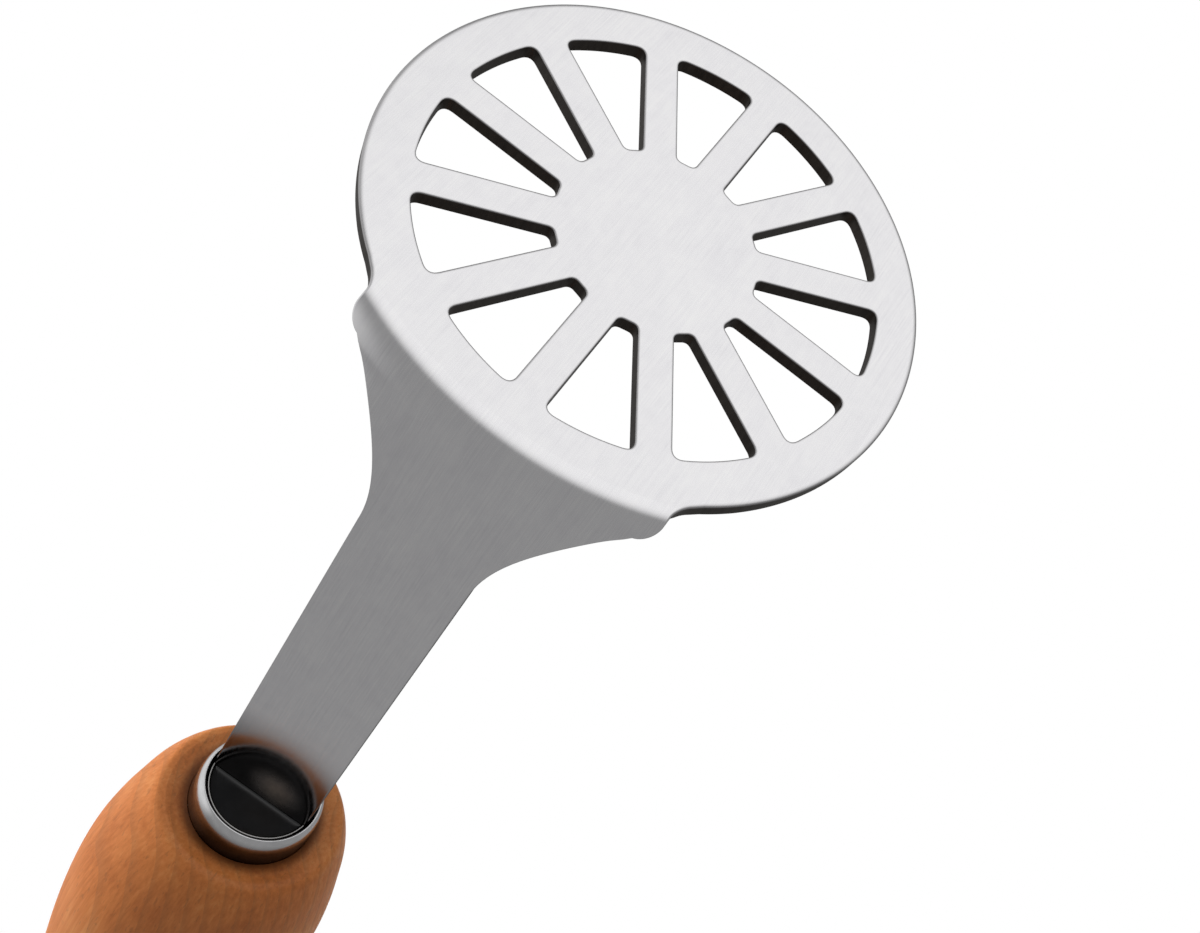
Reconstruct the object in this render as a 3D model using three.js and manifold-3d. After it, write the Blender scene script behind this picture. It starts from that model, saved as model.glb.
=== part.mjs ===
// A rigid potato masher: a round slotted steel disc whose sheet turns up at one side into a flared
// neck and a flat stem, and a turned wooden handle with a steel ferrule let into its front end.
// Millimetres. The disc's working face lies on z = 0 with the hub's centre at the origin, the handle
// is on the +Z side, and the stem stands at the -Y side of the disc.
import * as THREE from "three";
import { mergeVertices } from "three/addons/utils/BufferGeometryUtils.js";
import Module from "manifold-3d";

// ---- mashing disc ----
const DISC_RADIUS = 42.5;
const SHEET_THICKNESS = 2.45;
const RIM_WIDTH = 6.9;
const HUB_RADIUS = 15.7;
const SPOKE_WIDTH = 5.3;
const SLOT_COUNT = 12;
const SLOT_INNER_CORNER_RADIUS = 0.9;
const SLOT_OUTER_CORNER_RADIUS = 1.7;

// ---- bend between the disc and the neck ----
const BEND_INSET = 1.6; // from the rim circle back to where the bend starts, on the centre line
const BEND_INNER_RADIUS = 3.15;
const BEND_PAST_RIM = 0.8; // from the rim circle out to where the bend starts, at the ears
const STEM_LEAN = THREE.MathUtils.degToRad(15.8); // away from the disc, off its normal

// ---- neck and stem; lengths run along the sheet's outer face from the start of the bend ----
const EAR_WIDTH = 48.9; // across both ears
const EAR_FILLET_RADIUS = 2.9;
const EAR_FILLET_REACH = 2.7;
const EAR_FILLET_END = 1.6;
const EAR_ROUND_START = 3.2;
const FLARE_START = 6;
const FLARE_START_WIDTH = 44;
const FLARE_END = 27.6;
const NECK_JOIN_WIDTH = 39.1; // the disc's edge gives way to the neck's sheet across this width
const NECK_OVERLAP = 1; // the disc's own sheet stops this far short of the bend line
const NECK_ROOT = 3.5; // the neck's strip starts this far inside the bend line
const NECK_FLAT_FROM = 30; // the neck's bow across its width has died out here
const STEM_WIDTH = 18.3;
const STEM_TO_MOUTH = 95.7; // from the start of the bend to the crest of the ferrule's mouth
const STEM_IN_MOUTH = 2.8; // length of full-width stem sunk below that crest
const TANG_WIDTH = 12;
const TANG_LENGTH = 56;
const TANG_SHOULDER = 0.6;
const TANG_TIP_WIDTH = 8;
const TANG_TIP_LENGTH = 4;

// ---- ferrule ----
const FERRULE_WALL = 0.7;
const FERRULE_LENGTH = 19.8;
const FERRULE_DRAW = 1.2; // how far the mouth is drawn in from the tube's outside
const FERRULE_DRAW_LENGTH = 3.5;
const FERRULE_EDGE_RADIUS = 0.2;

// ---- mouth ring and potting resin ----
const MOUTH_RING_WALL = 0.6;
const MOUTH_RING_SETBACK = 0.5; // below the crest of the ferrule's mouth
const MOUTH_RING_PAST_STEM = 4; // the ring runs on this far behind the end of the full-width stem
const RESIN_SETBACK = 1.3; // below the crest of the ferrule's mouth
const RESIN_WALL = 0.7; // round the tang, in the handle's bore
const RESIN_PAST_TANG = 4;

// ---- handle ----
const HANDLE_SETBACK = 6.2; // from the ferrule's crest to the handle's front face
const HANDLE_LENGTH = 112;
const HANDLE_FRONT_RADIUS = 14.4;
const HANDLE_RADIUS = 22;
const HANDLE_SWELL_DISTANCE = 35.8; // from the front face to where the handle is widest
const HANDLE_COVE_DEPTH = 0.35;
const HANDLE_BORE_SPARE = 3; // empty end of the drilled bore

// ---- how finely round shapes are divided ----
const ROUND_SEGMENTS = 64;
const RIM_STEPS = 150;
const HANDLE_CURVE_STEPS = 32;

// ---- clearance ----
const FIT_GAP = 0.3; // between pieces that touch in the real tool

// ---- values that follow from the sizes above ----
const SLOT_OUTER_RADIUS = DISC_RADIUS - RIM_WIDTH;
const EAR_HALF_WIDTH = EAR_WIDTH / 2;
const BEND_START = DISC_RADIUS - BEND_INSET;
const BEND_START_AT_EARS = Math.sqrt(DISC_RADIUS ** 2 - EAR_HALF_WIDTH ** 2) + BEND_PAST_RIM;
const BEND_LINE_RISE = BEND_START - BEND_START_AT_EARS;
const BEND_LINE_RADIUS = (EAR_HALF_WIDTH ** 2 + BEND_LINE_RISE ** 2) / (2 * BEND_LINE_RISE);
const BEND_OUTER_RADIUS = BEND_INNER_RADIUS + SHEET_THICKNESS;
const BEND_ANGLE = Math.PI / 2 - STEM_LEAN;
const BEND_LENGTH = BEND_OUTER_RADIUS * BEND_ANGLE;
const BEND_TANGENT = BEND_OUTER_RADIUS * Math.tan(BEND_ANGLE / 2);
const FLARE_START_HALF_WIDTH = FLARE_START_WIDTH / 2;
const STEM_HALF_WIDTH = STEM_WIDTH / 2;
const TANG_HALF_WIDTH = TANG_WIDTH / 2;
const STEM_END = STEM_TO_MOUTH + STEM_IN_MOUTH;
const TANG_END = STEM_END + TANG_LENGTH;
const SHEET_SLOT_HALF = SHEET_THICKNESS / 2 + FIT_GAP;
const STEM_SLOT_END = STEM_IN_MOUTH + TANG_SHOULDER + FIT_GAP;
const TANG_SLOT_END = STEM_IN_MOUTH + TANG_LENGTH + FIT_GAP;
const MOUTH_RADIUS = Math.hypot(STEM_HALF_WIDTH, SHEET_THICKNESS / 2) + FIT_GAP;
const FERRULE_OUTER_RADIUS = MOUTH_RADIUS + FERRULE_DRAW;
const FERRULE_INNER_RADIUS = FERRULE_OUTER_RADIUS - FERRULE_WALL;
const MOUTH_RING_OUTER_RADIUS = MOUTH_RADIUS - FIT_GAP;
const MOUTH_RING_INNER_RADIUS = MOUTH_RING_OUTER_RADIUS - MOUTH_RING_WALL;
const MOUTH_RING_END = STEM_IN_MOUTH + MOUTH_RING_PAST_STEM;
const RESIN_FACE_RADIUS = MOUTH_RING_INNER_RADIUS - FIT_GAP;
const RESIN_BODY_RADIUS = FERRULE_INNER_RADIUS - FIT_GAP;
const RESIN_STEP = MOUTH_RING_END + FIT_GAP;
const RESIN_SHAFT_RADIUS = Math.hypot(TANG_HALF_WIDTH + FIT_GAP, SHEET_SLOT_HALF) + RESIN_WALL;
const RESIN_END = TANG_SLOT_END + RESIN_PAST_TANG;
const HANDLE_SEAT_RADIUS = FERRULE_OUTER_RADIUS + FIT_GAP;
const HANDLE_SEAT_END = FERRULE_LENGTH + FIT_GAP;
const HANDLE_BORE_RADIUS = RESIN_SHAFT_RADIUS + FIT_GAP;
const HANDLE_BORE_END = RESIN_END + HANDLE_BORE_SPARE;
const HANDLE_END = HANDLE_SETBACK + HANDLE_LENGTH;

const wasm = await Module();
wasm.setup();

function toSolid(geometry) {
  const bare = geometry.clone();
  bare.deleteAttribute("normal");
  bare.deleteAttribute("uv");
  const merged = mergeVertices(bare, 1e-5);
  return new wasm.Manifold(
    new wasm.Mesh({
      numProp: 3,
      vertProperties: merged.attributes.position.array,
      triVerts: new Uint32Array(merged.index.array),
    }),
  );
}

function toGeometry(solid) {
  const mesh = solid.getMesh();
  const geometry = new THREE.BufferGeometry();
  geometry.setAttribute("position", new THREE.BufferAttribute(mesh.vertProperties, 3));
  geometry.setIndex(new THREE.BufferAttribute(mesh.triVerts, 1));
  return geometry;
}

function namedMesh(name, geometry, color, roughness, metalness) {
  geometry.computeVertexNormals();
  const material = new THREE.MeshStandardMaterial({ color, roughness, metalness });
  const mesh = new THREE.Mesh(geometry, material);
  mesh.name = name;
  return mesh;
}

// ---- the stem's own axes ----
// The stem runs along STEM_DIRECTION through the middle of the sheet. Distances along it are measured
// from the crest of the ferrule's mouth, towards the handle.
const STEM_DIRECTION = new THREE.Vector3(0, -Math.sin(STEM_LEAN), Math.cos(STEM_LEAN));
const STEM_FACE_NORMAL = new THREE.Vector3(0, -Math.cos(STEM_LEAN), -Math.sin(STEM_LEAN));

function mouthCentre() {
  const bendCorner = new THREE.Vector3(0, -(BEND_START + BEND_TANGENT), 0);
  const alongStem = STEM_TO_MOUTH - BEND_LENGTH + BEND_TANGENT;
  return bendCorner
    .addScaledVector(STEM_DIRECTION, alongStem)
    .addScaledVector(STEM_FACE_NORMAL, -SHEET_THICKNESS / 2);
}

function stemFrame() {
  const across = new THREE.Vector3(1, 0, 0);
  const third = new THREE.Vector3().crossVectors(across, STEM_DIRECTION);
  return new THREE.Matrix4().makeBasis(across, STEM_DIRECTION, third).setPosition(mouthCentre());
}

// A solid of revolution about the stem's axis, from [radius, distance from the mouth] pairs.
function turned(profile) {
  const points = profile.map(([radius, distance]) => new THREE.Vector2(radius, distance));
  return new THREE.LatheGeometry(points, ROUND_SEGMENTS).applyMatrix4(stemFrame());
}

// A box centred on the stem's axis, between two distances from the mouth.
function stemBox(halfWidth, halfThickness, from, to) {
  const box = new THREE.BoxGeometry(2 * halfWidth, to - from, 2 * halfThickness);
  box.translate(0, (from + to) / 2, 0);
  return box.applyMatrix4(stemFrame());
}

// ---- masher blade ----

// One wedge-shaped slot with rounded corners, its centre line at the given angle.
function slotPath(angle) {
  const halfPitch = Math.PI / SLOT_COUNT;
  const sideOffset = SPOKE_WIDTH / 2 / Math.cos(halfPitch);
  const halfWidthAt = (distance) => distance * Math.tan(halfPitch) - sideOffset;
  const outerCorner = outerSlotCorner(halfWidthAt);
  const arc = outerSlotArc(outerCorner);
  const corners = [
    [HUB_RADIUS, -halfWidthAt(HUB_RADIUS), SLOT_INNER_CORNER_RADIUS],
    [outerCorner.x, -outerCorner.y, SLOT_OUTER_CORNER_RADIUS],
    [outerCorner.x, outerCorner.y, SLOT_OUTER_CORNER_RADIUS],
    [HUB_RADIUS, halfWidthAt(HUB_RADIUS), SLOT_INNER_CORNER_RADIUS],
  ];
  const path = new THREE.Path();
  const points = [];
  corners.forEach(([x, y, radius], index) => {
    const before = index === 2 ? arc.at(-1) : corners[(index + 3) % 4];
    const after = index === 1 ? arc[0] : corners[(index + 1) % 4];
    points.push(...roundedCorner([x, y], before, after, radius));
    if (index === 1) points.push(...arc.slice(1, -1));
  });
  const turnedPoints = points.map(([x, y]) =>
    new THREE.Vector2(x, y).rotateAround(new THREE.Vector2(0, 0), angle),
  );
  path.setFromPoints(turnedPoints);
  path.closePath();
  return path;
}

// Where a slot's straight side meets the circle that bounds the slots.
function outerSlotCorner(halfWidthAt) {
  let x = SLOT_OUTER_RADIUS;
  for (let round = 0; round < 20; round += 1) {
    x = Math.sqrt(SLOT_OUTER_RADIUS ** 2 - halfWidthAt(x) ** 2);
  }
  return new THREE.Vector2(x, halfWidthAt(x));
}

// The slot's outer end follows the bounding circle between its two rounded corners.
function outerSlotArc(corner) {
  const cornerTurn = SLOT_OUTER_CORNER_RADIUS / SLOT_OUTER_RADIUS;
  const halfAngle = Math.atan2(corner.y, corner.x) - cornerTurn;
  const steps = 6;
  const arc = [];
  for (let step = 0; step <= steps; step += 1) {
    const angle = halfAngle * ((2 * step) / steps - 1);
    arc.push([SLOT_OUTER_RADIUS * Math.cos(angle), SLOT_OUTER_RADIUS * Math.sin(angle)]);
  }
  return arc;
}

// Points of a rounded corner: a quadratic blend between the two sides.
function roundedCorner([x, y], before, after, radius) {
  const corner = new THREE.Vector2(x, y);
  const back = new THREE.Vector2(before[0] - x, before[1] - y).setLength(radius).add(corner);
  const ahead = new THREE.Vector2(after[0] - x, after[1] - y).setLength(radius).add(corner);
  const blend = new THREE.QuadraticBezierCurve(back, corner, ahead);
  return blend.getPoints(5).map((point) => [point.x, point.y]);
}

// The flat disc. Its edge steps inwards where the neck's own sheet takes over.
function discSolid() {
  const joinHalfWidth = NECK_JOIN_WIDTH / 2;
  const joinHalfAngle = Math.asin(joinHalfWidth / DISC_RADIUS);
  const neckAngle = -Math.PI / 2;
  const outline = new THREE.Shape();
  const outlinePoints = [];
  for (let step = 0; step <= RIM_STEPS; step += 1) {
    const sweep = 2 * (Math.PI - joinHalfAngle) * (step / RIM_STEPS);
    const angle = neckAngle + joinHalfAngle + sweep;
    outlinePoints.push(polar(DISC_RADIUS, angle));
  }
  const neckSteps = 16;
  for (let step = 0; step <= neckSteps; step += 1) {
    const across = joinHalfWidth * ((2 * step) / neckSteps - 1);
    outlinePoints.push(new THREE.Vector2(across, NECK_OVERLAP - bendStartAt(across)));
  }
  outline.setFromPoints(outlinePoints);
  for (let slot = 0; slot < SLOT_COUNT; slot += 1) {
    const angle = ((slot + 0.5) * 2 * Math.PI) / SLOT_COUNT;
    outline.holes.push(slotPath(angle));
  }
  const plate = new THREE.ExtrudeGeometry(outline, { depth: SHEET_THICKNESS, bevelEnabled: false });
  return toSolid(plate);
}

function polar(radius, angle) {
  return new THREE.Vector2(radius * Math.cos(angle), radius * Math.sin(angle));
}

// Distance of the bend line from the disc's centre, towards the stem, at one place across the neck.
function bendStartAt(across) {
  return BEND_START - BEND_LINE_RADIUS + Math.sqrt(BEND_LINE_RADIUS ** 2 - across ** 2);
}

// Half the width of the neck, stem and tang at one distance along the sheet.
function halfWidthAlong(along) {
  if (along < EAR_FILLET_END) {
    const reach = Math.min(EAR_FILLET_END - along, EAR_FILLET_REACH);
    return EAR_HALF_WIDTH + EAR_FILLET_RADIUS - Math.sqrt(EAR_FILLET_RADIUS ** 2 - reach ** 2);
  }
  if (along < EAR_ROUND_START) return EAR_HALF_WIDTH;
  if (along < FLARE_START) {
    const share = (along - EAR_ROUND_START) / (FLARE_START - EAR_ROUND_START);
    const drop = EAR_HALF_WIDTH - FLARE_START_HALF_WIDTH;
    return FLARE_START_HALF_WIDTH + drop * Math.sqrt(1 - share ** 2);
  }
  if (along < FLARE_END) {
    const share = (FLARE_END - along) / (FLARE_END - FLARE_START);
    return STEM_HALF_WIDTH + (FLARE_START_HALF_WIDTH - STEM_HALF_WIDTH) * share ** 2;
  }
  if (along <= STEM_END) return STEM_HALF_WIDTH;
  if (along <= TANG_END - TANG_TIP_LENGTH) return TANG_HALF_WIDTH;
  return TANG_TIP_WIDTH / 2;
}

// A point of the sheet's outer face, and the outward normal there.
function outerFacePoint(across, along) {
  const bend = Math.min(Math.max(along, 0), BEND_LENGTH) / BEND_OUTER_RADIUS;
  const straight = Math.max(along - BEND_LENGTH, 0);
  const flatShare = Math.max(NECK_FLAT_FROM - along, 0) / (NECK_FLAT_FROM - BEND_LENGTH);
  const bow = THREE.MathUtils.smoothstep(Math.min(flatShare, 1), 0, 1);
  const outwards =
    BEND_START +
    bow * (bendStartAt(across) - BEND_START) +
    Math.min(along, 0) +
    BEND_OUTER_RADIUS * Math.sin(bend) +
    straight * Math.sin(STEM_LEAN);
  const up = BEND_OUTER_RADIUS * (1 - Math.cos(bend)) + straight * Math.cos(STEM_LEAN);
  return new THREE.Vector3(across, -outwards, up);
}

function outerFaceNormal(across, along) {
  if (along <= 0) return new THREE.Vector3(0, 0, -1);
  const step = 0.01;
  const alongStep = outerFacePoint(across, along + step).sub(outerFacePoint(across, along - step));
  const acrossStep = outerFacePoint(across + step, along).sub(outerFacePoint(across - step, along));
  return new THREE.Vector3().crossVectors(acrossStep, alongStep).normalize();
}

// Distances along the sheet at which the neck's faces are divided, in order.
function neckRows() {
  const root = [-NECK_ROOT, EAR_FILLET_END - EAR_FILLET_REACH, 0];
  const tang = [STEM_END, STEM_END + TANG_SHOULDER, TANG_END - TANG_TIP_LENGTH, TANG_END];
  const rows = [
    ...root,
    ...spaced(root[1], EAR_FILLET_END, 6),
    ...spaced(EAR_ROUND_START, FLARE_START, 7),
    ...spaced(0, BEND_LENGTH, 8),
    ...spaced(BEND_LENGTH, NECK_FLAT_FROM, 12),
    ...tang,
  ];
  rows.sort((first, second) => first - second);
  return rows.filter((row, index) => index === 0 || row - rows[index - 1] > 0.05);
}

// Evenly spaced values between two limits, both included.
function spaced(from, to, steps) {
  return Array.from({ length: steps + 1 }, (_, step) => from + ((to - from) * step) / steps);
}

// Neck, stem and tang: one strip of sheet, bent to shape.
function neckSolid() {
  const rows = neckRows();
  const columns = 28;
  const strip = new THREE.BoxGeometry(2, 1, 1, columns, rows.length - 1, 1);
  const position = strip.getAttribute("position");
  for (let index = 0; index < position.count; index += 1) {
    const row = Math.round((position.getY(index) + 0.5) * (rows.length - 1));
    const along = rows[row];
    const across = position.getX(index) * halfWidthAlong(along);
    const depth = position.getZ(index) > 0 ? 0 : SHEET_THICKNESS;
    const point = outerFacePoint(across, along);
    point.addScaledVector(outerFaceNormal(across, along), -depth);
    position.setXYZ(index, point.x, point.y, point.z);
  }
  return toSolid(strip);
}

function masherBlade() {
  const blade = discSolid().add(neckSolid());
  return namedMesh("masher_blade", toGeometry(blade), 0xc9c8c6, 0.3, 1);
}

// ---- ferrule: a steel tube whose mouth is drawn in on an elliptical curve ----
function ferrule() {
  const crest = MOUTH_RADIUS + FERRULE_EDGE_RADIUS;
  const profile = [
    [FERRULE_INNER_RADIUS, FERRULE_LENGTH],
    [FERRULE_INNER_RADIUS, FERRULE_DRAW_LENGTH],
    [MOUTH_RADIUS, FERRULE_DRAW_LENGTH / 2],
    [MOUTH_RADIUS, FERRULE_EDGE_RADIUS],
    [crest - FERRULE_EDGE_RADIUS * Math.SQRT1_2, FERRULE_EDGE_RADIUS * (1 - Math.SQRT1_2)],
  ];
  const drawSteps = 9;
  for (let step = 0; step <= drawSteps; step += 1) {
    const angle = ((Math.PI / 2) * step) / drawSteps;
    profile.push([
      crest + (FERRULE_OUTER_RADIUS - crest) * Math.sin(angle),
      FERRULE_DRAW_LENGTH * (1 - Math.cos(angle)),
    ]);
  }
  profile.push([FERRULE_OUTER_RADIUS, FERRULE_LENGTH], profile[0]);
  return namedMesh("ferrule", turned(profile), 0xd6d6d8, 0.18, 1);
}

// ---- mouth ring: a thin steel collar inside the mouth, notched for the stem's edges ----
function mouthRing() {
  const edge = MOUTH_RING_WALL / 2;
  const middle = MOUTH_RING_OUTER_RADIUS - edge;
  const profile = [
    [MOUTH_RING_INNER_RADIUS, MOUTH_RING_END],
    [MOUTH_RING_INNER_RADIUS, MOUTH_RING_SETBACK + edge],
    [middle - edge * Math.SQRT1_2, MOUTH_RING_SETBACK + edge * (1 - Math.SQRT1_2)],
    [middle, MOUTH_RING_SETBACK],
    [middle + edge * Math.SQRT1_2, MOUTH_RING_SETBACK + edge * (1 - Math.SQRT1_2)],
    [MOUTH_RING_OUTER_RADIUS, MOUTH_RING_SETBACK + edge],
    [MOUTH_RING_OUTER_RADIUS, MOUTH_RING_END],
    [MOUTH_RING_INNER_RADIUS, MOUTH_RING_END],
  ];
  const notch = stemBox(FERRULE_OUTER_RADIUS, SHEET_SLOT_HALF, 0, STEM_SLOT_END);
  const ring = toSolid(turned(profile)).subtract(toSolid(notch));
  return namedMesh("mouth_ring", toGeometry(ring), 0xc4c4c6, 0.22, 1);
}

// ---- potting resin: fills the mouth and the handle's bore round the tang ----
function pottingResin() {
  const profile = [
    [0, RESIN_SETBACK],
    [RESIN_FACE_RADIUS, RESIN_SETBACK],
    [RESIN_FACE_RADIUS, RESIN_STEP],
    [RESIN_BODY_RADIUS, RESIN_STEP],
    [RESIN_BODY_RADIUS, FERRULE_LENGTH],
    [RESIN_SHAFT_RADIUS, FERRULE_LENGTH],
    [RESIN_SHAFT_RADIUS, RESIN_END],
    [0, RESIN_END],
  ];
  const stemSlot = stemBox(STEM_HALF_WIDTH + FIT_GAP, SHEET_SLOT_HALF, 0, STEM_SLOT_END);
  const tangSlot = stemBox(TANG_HALF_WIDTH + FIT_GAP, SHEET_SLOT_HALF, 0, TANG_SLOT_END);
  const body = toSolid(turned(profile));
  const resin = body.subtract(toSolid(stemSlot)).subtract(toSolid(tangSlot));
  return namedMesh("potting_resin", toGeometry(resin), 0x0c0d0f, 0.15, 0);
}

// ---- handle: turned hardwood with a seat for the ferrule and a blind bore for the tang ----

// Outside of the handle, from the edge of its front face to the tip.
function handleCurve() {
  const rise = HANDLE_RADIUS - HANDLE_FRONT_RADIUS;
  const fall = HANDLE_LENGTH - HANDLE_SWELL_DISTANCE;
  const swellStations = [
    [0, 0.004],
    [0.145, 0.014],
    [0.243, 0.038],
    [0.309, 0.067],
    [0.408, 0.117],
    [0.553, 0.212],
    [0.697, 0.359],
    [0.842, 0.525],
    [0.96, 0.734],
    [1, 1],
  ];
  const tailStations = [
    [0.985, 0.162],
    [0.94, 0.353],
    [0.88, 0.559],
    [0.83, 0.721],
    [0.77, 0.838],
    [0.66, 0.919],
    [0.45, 0.975],
    [0.2, 0.997],
    [0, 1],
  ];
  const swell = swellStations.map(([share, distanceShare]) => {
    const radius = HANDLE_FRONT_RADIUS + rise * share;
    return new THREE.Vector2(radius, HANDLE_SETBACK + distanceShare * HANDLE_SWELL_DISTANCE);
  });
  const tailStart = HANDLE_SETBACK + HANDLE_SWELL_DISTANCE;
  const tail = tailStations.map(([share, distanceShare]) => {
    return new THREE.Vector2(share * HANDLE_RADIUS, tailStart + distanceShare * fall);
  });
  const curve = new THREE.SplineCurve([...swell, ...tail]);
  return curve.getPoints(HANDLE_CURVE_STEPS).map((point) => [point.x, point.y]);
}

function handle() {
  const coveRadius = (HANDLE_SEAT_RADIUS + HANDLE_FRONT_RADIUS) / 2;
  const profile = [
    [0, HANDLE_BORE_END],
    [HANDLE_BORE_RADIUS, HANDLE_BORE_END],
    [HANDLE_BORE_RADIUS, HANDLE_SEAT_END],
    [HANDLE_SEAT_RADIUS, HANDLE_SEAT_END],
    [HANDLE_SEAT_RADIUS, HANDLE_SETBACK + HANDLE_COVE_DEPTH],
    [coveRadius, HANDLE_SETBACK + HANDLE_COVE_DEPTH],
    ...handleCurve().slice(0, -1),
    [0, HANDLE_END],
  ];
  return namedMesh("handle", turned(profile), 0xc07a3c, 0.35, 0);
}

const masher = new THREE.Group();
masher.name = "potato_masher";
masher.add(masherBlade(), ferrule(), mouthRing(), pottingResin(), handle());

export default masher;
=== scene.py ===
import math

import bpy
import bmesh
from mathutils import Matrix, Vector
from mathutils.geometry import delaunay_2d_cdt


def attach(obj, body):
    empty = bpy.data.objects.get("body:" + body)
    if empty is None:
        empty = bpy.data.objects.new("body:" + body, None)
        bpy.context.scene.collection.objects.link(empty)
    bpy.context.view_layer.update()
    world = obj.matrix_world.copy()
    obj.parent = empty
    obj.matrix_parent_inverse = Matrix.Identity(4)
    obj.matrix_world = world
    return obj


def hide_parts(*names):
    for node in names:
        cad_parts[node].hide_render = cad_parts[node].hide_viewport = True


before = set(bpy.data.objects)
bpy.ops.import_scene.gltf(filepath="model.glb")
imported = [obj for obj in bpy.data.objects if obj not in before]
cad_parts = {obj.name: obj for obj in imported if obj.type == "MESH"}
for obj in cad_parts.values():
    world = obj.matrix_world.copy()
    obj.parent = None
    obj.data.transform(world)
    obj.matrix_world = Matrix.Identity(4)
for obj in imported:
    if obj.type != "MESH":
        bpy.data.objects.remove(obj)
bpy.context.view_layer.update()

# A rigid potato masher. The CAD solids fix every place and size; the pieces made here are the same
# shapes with rolled edges, smooth surfaces and finished materials. Lengths below are millimetres.

MM = 0.001

# ---- sizes shared with the CAD model ----
DISC_RADIUS = 42.5
SHEET_THICKNESS = 2.45
RIM_WIDTH = 6.9
HUB_RADIUS = 15.7
SPOKE_WIDTH = 5.3
SLOT_COUNT = 12
SLOT_INNER_CORNER_RADIUS = 0.9
SLOT_OUTER_CORNER_RADIUS = 1.7
BEND_INSET = 1.6
BEND_INNER_RADIUS = 3.15
BEND_PAST_RIM = 0.8
STEM_LEAN = math.radians(15.8)
EAR_WIDTH = 48.9
EAR_FILLET_RADIUS = 2.9
EAR_FILLET_REACH = 2.7
EAR_FILLET_END = 1.6
EAR_ROUND_START = 3.2
FLARE_START = 6.0
FLARE_START_WIDTH = 44.0
FLARE_END = 27.6
NECK_FLAT_FROM = 30.0
STEM_WIDTH = 18.3
STEM_TO_MOUTH = 95.7
STEM_IN_MOUTH = 2.8
TANG_WIDTH = 12.0
TANG_LENGTH = 56.0
TANG_SHOULDER = 0.6
TANG_TIP_WIDTH = 8.0
TANG_TIP_LENGTH = 4.0
FERRULE_WALL = 0.7
FERRULE_LENGTH = 19.8
FERRULE_DRAW = 1.2
FERRULE_DRAW_LENGTH = 3.5
FERRULE_EDGE_RADIUS = 0.2
MOUTH_RING_WALL = 0.6
MOUTH_RING_SETBACK = 0.5
MOUTH_RING_PAST_STEM = 4.0
RESIN_SETBACK = 1.3
RESIN_WALL = 0.7
RESIN_PAST_TANG = 4.0
HANDLE_SETBACK = 6.2
HANDLE_LENGTH = 112.0
HANDLE_FRONT_RADIUS = 14.4
HANDLE_RADIUS = 22.0
HANDLE_SWELL_DISTANCE = 35.8
HANDLE_COVE_DEPTH = 0.35
HANDLE_BORE_SPARE = 3.0
FIT_GAP = 0.3

# ---- values that follow ----
SLOT_OUTER_RADIUS = DISC_RADIUS - RIM_WIDTH
EAR_HALF_WIDTH = EAR_WIDTH / 2
BEND_START = DISC_RADIUS - BEND_INSET
BEND_START_AT_EARS = math.sqrt(DISC_RADIUS**2 - EAR_HALF_WIDTH**2) + BEND_PAST_RIM
BEND_LINE_RISE = BEND_START - BEND_START_AT_EARS
BEND_LINE_RADIUS = (EAR_HALF_WIDTH**2 + BEND_LINE_RISE**2) / (2 * BEND_LINE_RISE)
BEND_OUTER_RADIUS = BEND_INNER_RADIUS + SHEET_THICKNESS
BEND_ANGLE = math.pi / 2 - STEM_LEAN
BEND_LENGTH = BEND_OUTER_RADIUS * BEND_ANGLE
BEND_TANGENT = BEND_OUTER_RADIUS * math.tan(BEND_ANGLE / 2)
FLARE_START_HALF_WIDTH = FLARE_START_WIDTH / 2
STEM_HALF_WIDTH = STEM_WIDTH / 2
TANG_HALF_WIDTH = TANG_WIDTH / 2
STEM_END = STEM_TO_MOUTH + STEM_IN_MOUTH
TANG_END = STEM_END + TANG_LENGTH
SHEET_SLOT_HALF = SHEET_THICKNESS / 2 + FIT_GAP
TANG_SLOT_END = STEM_IN_MOUTH + TANG_LENGTH + FIT_GAP
MOUTH_RADIUS = math.hypot(STEM_HALF_WIDTH, SHEET_THICKNESS / 2) + FIT_GAP
FERRULE_OUTER_RADIUS = MOUTH_RADIUS + FERRULE_DRAW
FERRULE_INNER_RADIUS = FERRULE_OUTER_RADIUS - FERRULE_WALL
MOUTH_RING_OUTER_RADIUS = MOUTH_RADIUS - FIT_GAP
MOUTH_RING_INNER_RADIUS = MOUTH_RING_OUTER_RADIUS - MOUTH_RING_WALL
MOUTH_RING_END = STEM_IN_MOUTH + MOUTH_RING_PAST_STEM
RESIN_BODY_RADIUS = FERRULE_INNER_RADIUS - FIT_GAP
RESIN_STEP = MOUTH_RING_END + FIT_GAP
RESIN_SHAFT_RADIUS = math.hypot(TANG_HALF_WIDTH + FIT_GAP, SHEET_SLOT_HALF) + RESIN_WALL
RESIN_END = TANG_SLOT_END + RESIN_PAST_TANG
HANDLE_SEAT_END = FERRULE_LENGTH + FIT_GAP
HANDLE_BORE_RADIUS = RESIN_SHAFT_RADIUS + FIT_GAP
HANDLE_BORE_END = RESIN_END + HANDLE_BORE_SPARE
HANDLE_END = HANDLE_SETBACK + HANDLE_LENGTH

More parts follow.
